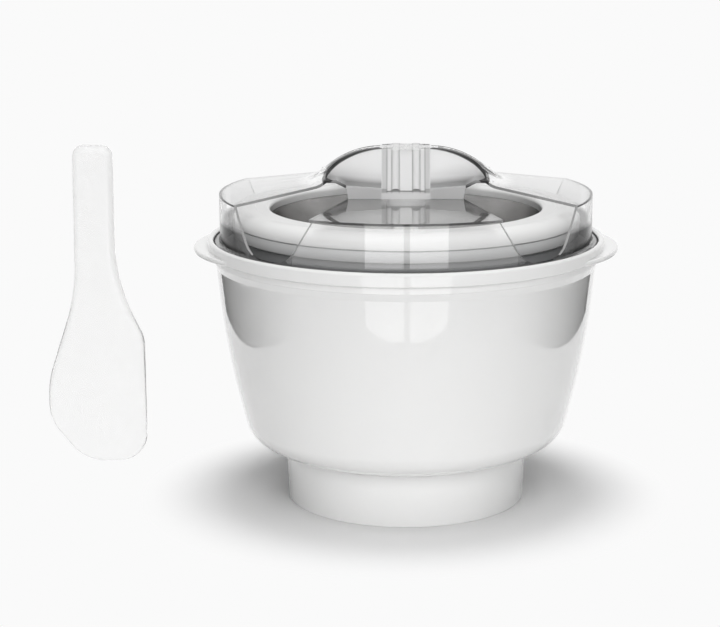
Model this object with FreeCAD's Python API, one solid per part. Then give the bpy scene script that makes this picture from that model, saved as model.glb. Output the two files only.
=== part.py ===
"""Ice cream maker for a stand mixer, in millimetres.

A white bowl on a round foot holds a double-walled freeze bowl. A dasher stands in the freeze bowl and
its square shaft is keyed into a clear lid with an arched handle. A spatula stands beside the bowl.
The origin is the centre of the foot on the table, +Z is up and the front is towards -Y.
"""
import FreeCAD
import Part

import math
import os

from FreeCAD import Vector

# Share of a wall's thickness that rounds each side of its free edge.
full_round = 0.48

# Most of a straight side that the round at one of its ends may take.
corner_share = 0.49

# Outer bowl: radii are from its axis, heights are above the table.
foot_radius = 71.0
foot_flare = 1.2
foot_height = 31.0
foot_edge = 0.8
foot_socket_radius = 67.5
foot_socket_depth = 20.0
foot_neck_wall = 6.5
bowl_floor = 3.0
bowl_wall = 3.0
bowl_corner_radius = 93.75
bowl_corner_rise = 7.6
bowl_corner_round = 17.0
bowl_belly_radius = 107.0
bowl_belly_height = 92.5
bowl_belly_round = 400.0
bowl_top_radius = 112.75
bowl_height = 158.5
rim_flare = 0.75
rim_wall = 3.7
rim_band = 8.0
rim_step_band = 4.2
rim_step_out = 1.35
rim_ledge_depth = 4.5
ear_reach = 8.2
ear_half_angle = 30.0
ear_thickness = 3.0

# Drive hub under the bowl's floor, for the mixer's spindle.
hub_bore_radius = 9.0
hub_boss_radius = 17.0
hub_flange_radius = 34.0
hub_flange_thickness = 4.0
hub_flange_drop = 3.0
hub_slot_width = 5.0
hub_slot_depth = 4.0
hub_slot_overrun = 0.5
hub_socket_gap = 0.5
screw_count = 3
screw_circle = 27.0
screw_radius = 1.6
screw_head_radius = 3.8
screw_head_height = 2.4
screw_chamfer = 0.8
screw_fit = 0.05
screw_boss_radius = 5.0
screw_reach = 4.6

# Freeze bowl: a plastic shell and collar, a metal liner and a filling of coolant between them.
seat_height = 46.0
seat_ring_radius = 62.0
seat_ring_wall = 4.0
jacket_gap = 10.3
shell_wall = 2.6
shell_corner_round = 14.0
collar_gap = 5.4
collar_rise = 18.7
collar_height = 9.0
collar_shoulder = 8.2
collar_wall = 2.6
collar_width = 22.8
collar_lip_wall = 2.4
collar_lip_drop = 6.0
collar_land = 9.0
collar_land_drop = 0.5
band_inset = 0.5
band_height = 7.2
liner_wall = 1.5
liner_floor_rise = 16.0
liner_floor_gap = 5.85
liner_corner_round = 18.0
liner_flange = 7.0
seal_width = 2.2
seal_height = 1.5
assembly_gap = 0.3
gel_headroom = 14.0
lug_count = 3
lug_circle = 44.0
lug_length = 12.0
lug_width = 14.0
lug_drop = 7.0
lug_play = 0.5
lug_rib_wall = 3.0
plug_radius = 4.0
plug_head_radius = 6.5
plug_head_height = 1.2
plug_circle = 28.0

# Pivot and dasher.
pivot_radius = 4.0
pivot_flange_radius = 9.0
pivot_flange_height = 1.2
pivot_height = 13.0
pivot_chamfer = 0.8
bush_wall = 4.0
bush_cap = 1.8
bush_flange_radius = 10.5
bush_flange_height = 2.0
bush_flat_depth = 1.5
running_gap = 0.06
sliding_gap = 0.3
dasher_clearance = 1.6
dasher_height = 78.0
dasher_plate = 5.0
dasher_post_radius = 13.0
dasher_rail = 11.0
dasher_foot_extra = 5.5
dasher_side_extra = 2.75
dasher_window_round = 6.0
blade_width = 15.0
blade_thickness = 2.6
blade_angle = 38.0
shaft_width = 15.0
shaft_round = 2.5
shaft_seat_depth = 20.0
shaft_fit = 0.05
shaft_end_gap = 2.0

# Clear lid: flange, notched wall, two rising lobes, two flat arms and the arched handle.
lid_wall = 1.6
lid_play = 0.5
lid_seat_gap = 0.2
lid_flange_width = 3.2
lid_flange_height = 2.6
lid_flange_round = 2.6
lid_rise = 26.0
notch_angle = 44.9
notch_top_half = 33.0
notch_bottom_half = 15.5
notch_bottom_rise = 0.8
notch_round = 18.0
lobe_rise = 7.8
lobe_neck_half = 24.0
lobe_neck_place = 44.0
lobe_neck_round = 40.0
lobe_end_half = 55.0
arm_inner_half = 33.0
arm_outer_half = 57.0
dome_rise = 27.0
dome_shoulder_radius = 31.0
dome_shoulder_drop = 0.7
dome_foot_radius = 57.0
dome_round = 50.0
dome_foot_round = 12.0
grip_top_half = 6.0
grip_foot_half = 8.0
grip_cove_round = 12.0
grip_floor_rise = 5.0
grip_floor_sag = 2.6
grip_floor_half = 34.5
grip_ledge_half = 40.0
grip_ledge_rise = 10.4
grip_side_half = 46.6
grip_side_round = 11.5
grip_lip_reach = 27.0
pillar_half_width = 14.0
pillar_band = 3.0
pillar_band_drop = 1.2
pillar_top_half = 12.0
pillar_foot_half = 28.0
pillar_rib_radius = 2.4
pillar_rib_place = 6.0
socket_radius = 11.8
socket_drop = 18.5
socket_roof = 3.0
web_foot_place = 22.0
web_foot_half = 2.0
web_foot_drop = 12.5

# Spatula, standing on its blade behind the bowl on the left. Sides and heights are from its foot.
spatula_x = -194.8
spatula_y = 66.6
spatula_height = 202.6
spatula_handle_half = 12.5
spatula_handle_thickness = 11.0
spatula_handle_bevel = 3.5
spatula_handle_foot = 130.0
spatula_end_round = 7.0
spatula_right = 30.2
spatula_right_neck = 116.0
spatula_right_shoulder = 80.6
spatula_left = 31.4
spatula_left_neck = 108.7
spatula_left_shoulder = 52.2
spatula_slant_top = 27.0
spatula_slant_foot = 9.6
spatula_neck_round = 100.0
spatula_shoulder_round = 20.0
spatula_blade_round = 55.0
spatula_tip_round = 18.0
spatula_slant_round = 24.0
spatula_blade_thickness = 2.8
spatula_blade_top = 40.0
spatula_thinning_round = 120.0

# Heights and radii worked out from the driving dimensions.
foot_top_radius = foot_radius + foot_flare
floor_height = foot_height + bowl_floor
rim_band_base = bowl_height - rim_band
rim_step_base = rim_band_base - rim_step_band
step_radius = bowl_top_radius + rim_step_out
rim_inner_radius = bowl_top_radius + rim_flare
rim_radius = rim_inner_radius + rim_wall
ledge_height = bowl_height - rim_ledge_depth
flange_radius = rim_inner_radius - lid_play
lid_radius = flange_radius - lid_flange_width
lid_inner_radius = lid_radius - lid_wall
lid_base = ledge_height + lid_seat_gap
lid_top = bowl_height + lid_rise
plate_base = lid_top - lid_wall
dome_top = lid_top + dome_rise
collar_radius = lid_inner_radius - collar_gap
collar_inner_radius = collar_radius - collar_width
collar_top = bowl_height + collar_rise
land_top = collar_top - collar_land_drop
collar_roof = land_top - collar_wall
seam_height = collar_top - collar_height
band_radius = collar_radius - band_inset
band_base = seam_height - band_height
jacket = bowl_wall + jacket_gap
shell_top_radius = bowl_top_radius - jacket
shell_bore = shell_top_radius - shell_wall
liner_floor = seat_height + liner_floor_rise
liner_floor_radius = bowl_corner_radius - jacket - shell_wall - liner_floor_gap
liner_top_radius = collar_inner_radius + collar_lip_wall + 2 * assembly_gap
pivot_base = liner_floor + pivot_flange_height
bush_radius = pivot_radius + running_gap + bush_wall
bush_base = pivot_base + sliding_gap
bush_shoulder = bush_base + bush_flange_height
bush_top = pivot_base + pivot_height + bush_cap
dasher_base = bush_shoulder + sliding_gap
dasher_top = liner_floor + dasher_height
shaft_base = dasher_top - shaft_seat_depth
socket_top = dome_top - socket_roof
shaft_top = socket_top - shaft_end_gap
socket_base = lid_top - socket_drop
reach = 2 * (rim_radius + ear_reach)


def side(u, v):
    """A point of a side view: u from the axis, v up."""
    return Vector(u, 0, v)


def end(u, v):
    """A point of an end view: u towards the back, v up."""
    return Vector(0, u, v)


def plan(u, v):
    """A point of the plan view."""
    return Vector(u, v, 0)


def corner(before, at, after):
    """Where a rounded corner starts, its middle and where it ends."""
    point = Vector(at[0], at[1], 0)
    back = Vector(before[0], before[1], 0) - point
    ahead = Vector(after[0], after[1], 0) - point
    radius = at[2] if len(at) > 2 else 0.0
    half = back.getAngle(ahead) / 2
    if radius <= 0 or half > math.pi / 2 - 1e-4:
        return [point]
    cut = min(radius / math.tan(half), corner_share * back.Length, corner_share * ahead.Length)
    radius = cut * math.tan(half)
    back.normalize()
    ahead.normalize()
    middle = point + (back + ahead).normalize() * (radius / math.sin(half) - radius)
    return [point + back * cut, middle, point + ahead * cut]


def outline(points, view):
    """A closed face whose corners (u, v, radius) are rounded by tangent arcs."""
    count = len(points)
    corners = [corner(points[i - 1], points[i], points[(i + 1) % count]) for i in range(count)]
    edges = []
    for i in range(count):
        bend = [view(p.x, p.y) for p in corners[i]]
        following = view(corners[(i + 1) % count][0].x, corners[(i + 1) % count][0].y)
        if len(bend) == 3:
            edges.append(Part.Arc(*bend).toShape())
        if (following - bend[-1]).Length > 1e-6:
            edges.append(Part.LineSegment(bend[-1], following).toShape())
    return Part.Face(Part.Wire(edges))


def offset(path, distance):
    """The open path moved to its left by a distance, with its rounded corners kept parallel."""
    spots = [Vector(p[0], p[1], 0) for p in path]
    ways = [(b - a).normalize() for a, b in zip(spots, spots[1:])]
    moved = []
    for i, point in enumerate(path):
        first = ways[max(i - 1, 0)]
        second = ways[min(i, len(ways) - 1)]
        lean = Vector(-first.y - second.y, first.x + second.x, 0).normalize()
        step = distance / (lean.x * -first.y + lean.y * first.x)
        turn = first.x * second.y - first.y * second.x
        radius = point[2] if len(point) > 2 else 0.0
        if radius > 0:
            radius = max(radius - math.copysign(distance, turn), 0.0)
        moved.append((spots[i].x + lean.x * step, spots[i].y + lean.y * step, radius))
    return moved


def turned(points):
    """A solid of revolution about the vertical axis."""
    return outline(points, side).revolve(Vector(), Vector(0, 0, 1), 360)


def upright(points, low, high):
    """A plan outline pushed up between two heights."""
    face = outline(points, plan)
    face.translate(Vector(0, 0, low))
    return face.extrude(Vector(0, 0, high - low))


def through_y(points, low, high):
    """A side outline pushed from front to back."""
    face = outline(points, side)
    face.translate(Vector(0, low, 0))
    return face.extrude(Vector(0, high - low, 0))


def through_x(points, low, high):
    """An end outline pushed from left to right."""
    face = outline(points, end)
    face.translate(Vector(low, 0, 0))
    return face.extrude(Vector(high - low, 0, 0))


def rod(radius, low, high, x=0.0, y=0.0):
    """A vertical cylinder."""
    return Part.makeCylinder(radius, high - low, Vector(x, y, low))


def block(size_x, size_y, low, high, x=0.0, y=0.0):
    """A box centred on x and y between two heights."""
    return Part.makeBox(size_x, size_y, high - low, Vector(x - size_x / 2, y - size_y / 2, low))


def about_axis(shape, angle):
    """A copy of the shape turned about the vertical axis."""
    copy = shape.copy()
    copy.rotate(Vector(), Vector(0, 0, 1), angle)
    return copy


def around(shape, count):
    """Evenly spaced copies of the shape round the vertical axis."""
    return [about_axis(shape, 360 * i / count) for i in range(count)]


def joined(shapes):
    """One solid from shapes that overlap, added one after another."""
    whole = shapes[0]
    for shape in shapes[1:]:
        whole = whole.fuse(shape)
    return whole


def both_ways(points):
    """Half an outline on the right, closed with its mirror image on the left."""
    return points + [(-p[0], *p[1:]) for p in reversed(points)]


def rounded_square(width, radius):
    """A square plan outline with rounded corners."""
    half = width / 2
    return [(half, -half, radius), (half, half, radius), (-half, half, radius), (-half, -half, radius)]


def save(name, shape):
    """Write one piece, as a single solid where it is one."""
    solids = shape.removeSplitter().Solids
    piece = solids[0] if len(solids) == 1 else Part.makeCompound(solids)
    piece.exportStep(f"parts/{name}.step")


def make_outer_bowl():
    """White bowl with its foot, stepped rim, two ears and the seats on both sides of its floor."""
    bowl_side = [
        (foot_top_radius, foot_height),
        (bowl_corner_radius, foot_height + bowl_corner_rise, bowl_corner_round),
        (bowl_belly_radius, bowl_belly_height, bowl_belly_round),
        (bowl_top_radius, rim_step_base),
    ]
    inside = offset(bowl_side, bowl_wall)
    neck = foot_radius - foot_neck_wall
    bowl = turned(
        [(0, foot_height), (neck, foot_height), (neck, foot_socket_depth)]
        + [(foot_socket_radius, foot_socket_depth), (foot_socket_radius, 0), (foot_radius, 0, foot_edge)]
        + bowl_side
        + [(step_radius, rim_step_base), (step_radius, rim_band_base)]
        + [(rim_radius, rim_band_base, foot_edge), (rim_radius, bowl_height, full_round * rim_wall)]
        + [(rim_inner_radius, bowl_height, full_round * rim_wall), (rim_inner_radius, ledge_height)]
        + [(inside[3][0], ledge_height), inside[2], inside[1]]
        + [(neck, floor_height, bowl_corner_round), (0, floor_height)]
    )
    for turn in (0, 180):
        bowl = bowl.fuse(about_axis(make_ear(), turn))
    seat = turned(
        [(seat_ring_radius - seat_ring_wall, foot_height + bowl_floor / 2)]
        + [(seat_ring_radius, foot_height + bowl_floor / 2), (seat_ring_radius, seat_height)]
        + [(seat_ring_radius - seat_ring_wall, seat_height)]
    )
    rib_place = lug_width / 2 + lug_play + lug_rib_wall / 2
    ribs = []
    for y in (-rib_place, rib_place):
        rib = block(
            lug_length, lug_rib_wall, foot_height + bowl_floor / 2, seat_height - lug_play, lug_circle, y
        )
        ribs += around(rib, lug_count)
    boss_base = foot_height - hub_flange_drop
    bosses = around(
        rod(screw_boss_radius, boss_base, foot_height + bowl_floor / 2, screw_circle), screw_count
    )
    pilots = around(rod(screw_radius, boss_base, boss_base + screw_reach, screw_circle), screw_count)
    return bowl.fuse([seat] + ribs + bosses).cut(pilots)


def make_ear():
    """Crescent lifting tab on the right of the rim, with a rounded edge."""
    chord = rim_radius * math.sin(math.radians(ear_half_angle))
    near = rim_radius * math.cos(math.radians(ear_half_angle))
    bulge = rim_radius + ear_reach - near
    radius = (chord**2 + bulge**2) / (2 * bulge)
    edge = full_round * ear_thickness
    disc = turned(
        [(0, rim_band_base), (radius, rim_band_base, edge)]
        + [(radius, rim_band_base + ear_thickness, edge), (0, rim_band_base + ear_thickness)]
    )
    disc.translate(Vector(rim_radius + ear_reach - radius, 0, 0))
    return disc.cut(rod(rim_radius - rim_wall / 2, 0, bowl_height))


def make_drive_hub():
    """Socket for the mixer's spindle, screwed under the bowl's floor."""
    low = foot_socket_depth + hub_socket_gap
    flange_top = foot_height - hub_flange_drop
    flange_base = flange_top - hub_flange_thickness
    hub = turned(
        [(hub_bore_radius, low), (hub_boss_radius, low), (hub_boss_radius, flange_base)]
        + [(hub_flange_radius, flange_base), (hub_flange_radius, flange_top)]
        + [(hub_boss_radius, flange_top), (hub_boss_radius, foot_height), (hub_bore_radius, foot_height)]
    )
    holes = around(rod(screw_radius + sliding_gap, flange_base, flange_top, screw_circle), screw_count)
    slot = block(2 * (hub_boss_radius + hub_slot_overrun), hub_slot_width, low, low + hub_slot_depth)
    return hub.cut(holes + [slot])


def make_hub_screws():
    """The screws that hold the drive hub."""
    seat = foot_height - hub_flange_drop - hub_flange_thickness
    head = seat - screw_head_height
    tip = foot_height - hub_flange_drop + screw_reach - screw_fit
    shank = screw_radius - screw_fit
    screw = turned(
        [(0, head), (screw_head_radius - screw_chamfer, head), (screw_head_radius, head + screw_chamfer)]
        + [(screw_head_radius, seat), (shank, seat), (shank, tip), (0, tip)]
    )
    screw.translate(Vector(screw_circle, 0, 0))
    return Part.makeCompound(around(screw, screw_count))


def shell_path():
    """Outside of the freeze bowl's shell, from its base up."""
    return [
        (0, seat_height),
        (bowl_corner_radius - jacket, seat_height, shell_corner_round),
        (bowl_belly_radius - jacket, bowl_belly_height),
        (shell_top_radius, band_base),
    ]


def liner_path():
    """Inside of the metal liner, from its floor up."""
    return [
        (0, liner_floor),
        (liner_floor_radius, liner_floor, liner_corner_round),
        (liner_top_radius, collar_roof),
    ]


def make_shell():
    """Outer wall of the freeze bowl, with its welding band, driving lugs and filling hole."""
    outside = shell_path()
    inside = offset(outside, shell_wall)
    seal_in = (shell_bore + band_radius - seal_width) / 2
    shell = turned(
        outside
        + [(band_radius, band_base), (band_radius, seam_height)]
        + [(seal_in + seal_width, seam_height), (seal_in + seal_width, seam_height - seal_height)]
        + [(seal_in, seam_height - seal_height), (seal_in, seam_height), (shell_bore, seam_height)]
        + [(inside[3][0], band_base), inside[2], inside[1], (0, seat_height + shell_wall)]
    )
    lug = block(
        lug_length, lug_width, seat_height - lug_drop, seat_height + shell_wall / 2, lug_circle
    )
    shell = shell.fuse(around(lug, lug_count))
    hole = rod(plug_radius, seat_height, seat_height + shell_wall, -plug_circle)
    sink = rod(plug_head_radius, seat_height, seat_height + plug_head_height, -plug_circle)
    return shell.cut([hole, sink])


def make_collar():
    """Rounded top ring of the freeze bowl, welded to the shell, with a lip inside the liner."""
    lip_outer = collar_inner_radius + collar_lip_wall
    seal_in = lip_outer + liner_flange / 2
    land = collar_inner_radius + collar_land
    return turned(
        [(shell_bore, seam_height), (collar_radius, seam_height)]
        + [(collar_radius, collar_top, collar_shoulder), (land, collar_top)]
        + [(land - collar_land_drop, land_top), (collar_inner_radius, land_top, full_round * collar_lip_wall)]
        + [(collar_inner_radius, land_top - collar_lip_drop), (lip_outer, land_top - collar_lip_drop)]
        + [(lip_outer, collar_roof), (seal_in, collar_roof), (seal_in, collar_roof + seal_height)]
        + [(seal_in + seal_width, collar_roof + seal_height), (seal_in + seal_width, collar_roof)]
        + [(shell_bore, collar_roof)]
    )


def make_liner():
    """Spun metal liner with a flange under the collar."""
    inside = liner_path()
    outside = offset(inside, -liner_wall)
    tip = liner_top_radius + liner_flange
    return turned(
        inside
        + [(tip, collar_roof), (tip, collar_roof - liner_wall)]
        + [(outside[2][0], collar_roof - liner_wall), outside[1], outside[0]]
    )


def make_liner_seal():
    """Ring in the collar's groove, pressed on the liner's flange."""
    inner = collar_inner_radius + collar_lip_wall + liner_flange / 2
    return turned(
        [(inner, collar_roof), (inner + seal_width, collar_roof)]
        + [(inner + seal_width, collar_roof + seal_height), (inner, collar_roof + seal_height)]
    )


def make_shell_seal():
    """Ring in the shell's groove, pressed on the collar."""
    inner = (shell_bore + band_radius - seal_width) / 2
    base = seam_height - seal_height
    return turned(
        [(inner, base), (inner + seal_width, base)]
        + [(inner + seal_width, seam_height), (inner, seam_height)]
    )


def make_coolant():
    """Frozen filling between the shell and the liner, with room to expand above it."""
    outside = offset(shell_path(), shell_wall + assembly_gap)
    inside = offset(liner_path(), -liner_wall - assembly_gap)
    fill = collar_roof - liner_wall - gel_headroom
    filling = turned([*outside, (0, outside[-1][1])])
    cavity = turned([*inside, (0, inside[-1][1])])
    return filling.cut([cavity, block(reach, reach, fill, dome_top)])


def make_filler_plug():
    """Plug that closes the filling hole in the freeze bowl's base."""
    step = seat_height + plug_head_height
    plug = turned(
        [(0, seat_height), (plug_head_radius - screw_fit, seat_height), (plug_head_radius - screw_fit, step)]
        + [(plug_radius - screw_fit, step), (plug_radius - screw_fit, seat_height + shell_wall)]
        + [(0, seat_height + shell_wall)]
    )
    plug.translate(Vector(-plug_circle, 0, 0))
    return plug


def make_pivot_pin():
    """Stud welded to the liner's floor, on which the dasher turns."""
    top = pivot_base + pivot_height - sliding_gap
    return turned(
        [(0, liner_floor), (pivot_flange_radius, liner_floor), (pivot_flange_radius, pivot_base)]
        + [(pivot_radius, pivot_base), (pivot_radius, top - pivot_chamfer)]
        + [(pivot_radius - pivot_chamfer, top), (0, top)]
    )


def bush_key(gap):
    """Round bush with two flats, as it fits into the dasher."""
    radius = bush_radius + gap
    flat = 2 * (bush_radius - bush_flat_depth + gap)
    return rod(radius, bush_base, bush_top + gap).common(block(reach, flat, bush_base, dome_top))


def make_pivot_bush():
    """Bush that turns on the stud and carries the dasher."""
    flange = rod(bush_flange_radius, bush_base, bush_shoulder)
    bore = rod(pivot_radius + running_gap, bush_base, pivot_base + pivot_height)
    return flange.fuse(bush_key(0)).cut(bore)


def make_dasher_paddle():
    """Moulded dasher: a post, a frame with two windows and two slanted scraping blades."""
    edge = offset(liner_path(), dasher_clearance)
    arm_base = edge[0][1]
    frame = through_y(
        both_ways([(edge[1][0], arm_base, edge[1][2]), edge[2]]), -dasher_plate / 2, dasher_plate / 2
    )
    frame = frame.common(block(reach, reach, dasher_base, dasher_top))
    inner = offset(liner_path(), dasher_clearance + dasher_rail)
    hole = [
        (dasher_post_radius, inner[0][1] + dasher_foot_extra, dasher_window_round),
        (inner[1][0] - dasher_side_extra, inner[0][1] + dasher_foot_extra, inner[1][2]),
        (inner[2][0] - dasher_side_extra, collar_roof),
        (dasher_post_radius, collar_roof),
    ]
    opening = through_y(hole, -dasher_plate, dasher_plate)
    opening = opening.common(block(reach, reach, dasher_base, dasher_top - dasher_rail))
    windows = [opening, about_axis(opening, 180)]
    post = rod(dasher_post_radius, dasher_base, dasher_top)
    blades = make_blades(edge)
    seat = upright(rounded_square(shaft_width + 2 * shaft_fit, shaft_round), shaft_base, dasher_top)
    paddle = frame.cut(windows).fuse([post] + blades)
    return paddle.cut([bush_key(sliding_gap), seat])


def make_blades(edge):
    """Blades that lean against the turning direction, one at each end of the frame."""
    inner = offset(liner_path(), dasher_clearance + blade_width)
    swept = turned([*edge, (0, edge[-1][1])]).cut(turned([*inner, (0, inner[-1][1])]))
    pivot = edge[1][0] - blade_width / 2
    lean = about_axis(block(reach, blade_thickness, 0, dome_top), blade_angle)
    lean.translate(Vector(pivot, 0, 0))
    near = block(2 * blade_width, blade_width, dasher_base, dasher_top, pivot)
    blade = lean.common(near).common(swept)
    return [blade, about_axis(blade, 180)]


def make_dasher_shaft():
    """Square shaft from the dasher up into the lid's socket."""
    return upright(rounded_square(shaft_width, shaft_round), shaft_base, shaft_top)


def dome_path():
    """Top surface of the lobes and the handle, from the axis to the lid's edge."""
    return [
        (0, dome_top),
        (dome_shoulder_radius, dome_top - dome_shoulder_drop, dome_round),
        (dome_foot_radius, lid_top + lobe_rise, dome_foot_round),
        (lid_radius, lid_top),
    ]


def finger_room(growth):
    """The pocket in front of the handle for the fingers, grown by a wall's thickness."""
    floor = lid_top + grip_floor_rise
    cove = offset(
        [(grip_top_half, 2 * dome_top), (grip_top_half, dome_top)]
        + [(grip_foot_half, floor, grip_cove_round), (reach, floor)],
        -growth,
    )
    hollow = through_x([(-p[0], *p[1:]) for p in cove] + [(-reach, 2 * dome_top)], -reach, reach)
    ledge = lid_top + grip_ledge_rise - growth
    flank = grip_side_half + growth
    sides = [
        (0, floor - growth, reach),
        (grip_floor_half + growth / 2, floor + grip_floor_sag - growth),
        (grip_ledge_half + growth / 2, ledge),
        (flank, ledge),
        (flank, 2 * dome_top),
    ]
    opening = through_y(sides + [(-x, *rest) for x, *rest in reversed(sides[1:])], -reach, 0)
    back = growth - grip_top_half
    pocket = [(flank, -reach), (flank, back, grip_side_round + growth)]
    return hollow.common(opening).common(upright(both_ways(pocket), plate_base, 2 * dome_top))


def make_lid_wall():
    """Notched crown of the lid on its flange ring."""
    crown = turned(
        [(lid_inner_radius, lid_base), (flange_radius, lid_base)]
        + [(flange_radius, lid_base + lid_flange_height, foot_edge)]
        + [(lid_radius, lid_base + lid_flange_height, lid_flange_round), (lid_radius, lid_top)]
        + [(lid_inner_radius, lid_top)]
    )
    low = lid_base + lid_flange_height + notch_bottom_rise
    slope = (notch_top_half - notch_bottom_half) / (lid_top - low)
    top_half = notch_top_half + slope * lid_rise
    notch = both_ways([(notch_bottom_half, low, notch_round), (top_half, lid_top + lid_rise)])
    cutter = through_y(notch, 0, reach)
    turns = [notch_angle - 90, 90 - notch_angle, notch_angle + 90, 270 - notch_angle]
    return crown.cut([about_axis(cutter, turn) for turn in turns])


def pillar_front(drop):
    """Straight line down the front of the ribbed pillar, from the dome to the lid's lip."""
    floor = lid_top + grip_floor_rise
    slope = (pillar_foot_half - pillar_top_half) / (dome_top - floor)
    above = dome_top + lid_wall
    return [(pillar_top_half - drop - slope * lid_wall, above), (pillar_foot_half - drop, floor)]


def make_pillar():
    """Raised strip with two ribs down the front cove of the handle."""
    strips = []
    for half_width, drop in ((pillar_half_width, pillar_band_drop), (pillar_half_width - pillar_band, 0)):
        front = pillar_front(drop)
        strip = front + list(reversed(offset(front, -lid_wall)))
        strips.append(through_x([(-p[0], p[1]) for p in strip], -half_width, half_width))
    (top, above), (foot, floor) = pillar_front(0)
    fall = Vector(0, top - foot, floor - above)
    for x in (-pillar_rib_place, pillar_rib_place):
        strips.append(Part.makeCylinder(pillar_rib_radius, fall.Length, Vector(x, -top, above), fall))
    return joined(strips)


def make_socket_tube():
    """Tube in the middle of the handle for the dasher's shaft, kept behind the pillar's front."""
    top, foot = pillar_front(0)
    behind = through_x(both_ways([(foot[0], socket_base), foot, top]), -reach, reach)
    return rod(socket_radius, socket_base, dome_top).common(behind)


def make_strap():
    """Everything above the plan of the two lobes and the handle between them."""
    half = [(lobe_neck_place, lobe_neck_half, lobe_neck_round), (lid_radius, lobe_end_half)]
    right = half + [(x, -y, *rounding) for x, y, *rounding in reversed(half)]
    return upright(right + [(-x, -y, *rounding) for x, y, *rounding in right], 0, 2 * dome_top)


def make_handle(below):
    """Skin of the lobes and the arched handle, pinched by the finger coves."""
    top = dome_path()
    under = offset(top, -lid_wall)
    skin = turned([*top, (lid_radius, plate_base), *reversed(under[1:3]), (0, dome_top - lid_wall)])
    lips = block(2 * grip_floor_half, 2 * grip_lip_reach, plate_base, dome_top)
    neck = block(2 * dome_foot_radius, 2 * lobe_neck_half, plate_base, dome_top)
    inside = lips.fuse(neck).common(below)
    handle = skin.common(make_strap())
    for turn in (0, 180):
        handle = handle.fuse(inside.common(about_axis(finger_room(lid_wall), turn)))
    for turn in (0, 180):
        handle = handle.cut(about_axis(finger_room(0), turn))
    return handle


def make_arm():
    """Flat front arm of the lid with the lip that joins it to the handle."""
    root = lid_wall - grip_lip_reach
    arm = upright(both_ways([(arm_outer_half, -lid_radius), (arm_inner_half, root)]), plate_base, lid_top)
    lip_top = lid_top + grip_floor_rise + grip_floor_sag
    lip_side = [(grip_floor_half, lip_top), (arm_inner_half, plate_base)]
    lip = through_y(both_ways(lip_side), -grip_lip_reach, root)
    return arm.common(rod(lid_radius, plate_base, lid_top)).fuse(lip.cut(finger_room(0)))


def make_web():
    """Stiffening web along the handle, with two feet below the lid."""
    foot = lid_top - web_foot_drop
    inner = web_foot_place - web_foot_half
    web = through_y(
        both_ways(
            [(inner, foot), (web_foot_place + web_foot_half, foot), (grip_floor_half, lid_top)]
            + [(grip_ledge_half, lid_top + lobe_rise), (grip_ledge_half, 2 * dome_top)]
        ),
        -lid_wall / 2,
        lid_wall / 2,
    )
    arch = both_ways([(inner, 0), (inner, foot), (socket_radius, plate_base)])
    return web.cut(through_y(arch, -lid_wall, lid_wall))


def make_lid():
    """Clear lid: notched crown, rising lobes, flat arms and the hollow arched handle."""
    below = turned([(0, socket_base), *dome_path(), (lid_radius, socket_base)])
    core = [make_web().common(below), make_socket_tube().common(below)]
    for turn in (0, 180):
        core.append(about_axis(make_pillar(), turn).common(below))
    arms = [make_arm(), about_axis(make_arm(), 180)]
    lid = joined([make_handle(below), *core, *arms, make_lid_wall()])
    key = rounded_square(shaft_width + 2 * sliding_gap, shaft_round)
    return lid.cut(upright(key, socket_base, socket_top))


def spatula_face():
    """The spatula seen from the front."""
    return [
        (-spatula_handle_half, spatula_height, spatula_end_round),
        (spatula_handle_half, spatula_height, spatula_end_round),
        (spatula_handle_half, spatula_right_neck, spatula_neck_round),
        (spatula_right, spatula_right_shoulder, spatula_shoulder_round),
        (spatula_right, 0, spatula_tip_round),
        (-spatula_slant_foot, 0, spatula_slant_round),
        (-spatula_left, spatula_slant_top, spatula_slant_round),
        (-spatula_left, spatula_left_shoulder, spatula_blade_round),
        (-spatula_handle_half, spatula_left_neck, spatula_neck_round),
    ]


def make_spatula():
    """Moulded spatula: a thick bevelled handle that flattens into a wide thin blade."""
    thick = spatula_handle_thickness / 2
    thin = spatula_blade_thickness / 2
    edge = [
        (thick, spatula_height),
        (thick, spatula_handle_foot, spatula_thinning_round),
        (thin, spatula_blade_top, spatula_thinning_round),
        (thin, 0),
    ]
    blank = through_x(both_ways(edge), -reach, reach).common(through_y(spatula_face(), -thick, thick))
    full = spatula_handle_half + thick
    diamonds = []
    for half, height in ((full, spatula_handle_foot), (full - spatula_handle_bevel, spatula_height)):
        corners = [Vector(half, 0, height), Vector(0, half, height), Vector(-half, 0, height)]
        corners += [Vector(0, -half, height), corners[0]]
        diamonds.append(Part.makePolygon(corners))
    bevels = Part.makeLoft(diamonds, True, True)
    spatula = blank.common(bevels.fuse(block(reach, reach, 0, spatula_handle_foot)))
    spatula.translate(Vector(spatula_x, spatula_y, 0))
    return spatula


def main():
    """Build every piece and write it under its own name."""
    os.makedirs("parts", exist_ok=True)
    save("outer_bowl", make_outer_bowl())
    save("drive_hub", make_drive_hub())
    save("drive_hub_screws", make_hub_screws())
    save("freeze_bowl_shell", make_shell())
    save("freeze_bowl_collar", make_collar())
    save("freeze_bowl_liner", make_liner())
    save("liner_seal", make_liner_seal())
    save("shell_seal", make_shell_seal())
    save("coolant_gel", make_coolant())
    save("filler_plug", make_filler_plug())
    save("pivot_pin", make_pivot_pin())
    save("pivot_bush", make_pivot_bush())
    save("dasher_paddle", make_dasher_paddle())
    save("dasher_shaft", make_dasher_shaft())
    save("lid", make_lid())
    save("spatula", make_spatula())


main()
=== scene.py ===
import math

import bmesh
import bpy
from mathutils import Matrix, Vector


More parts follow.
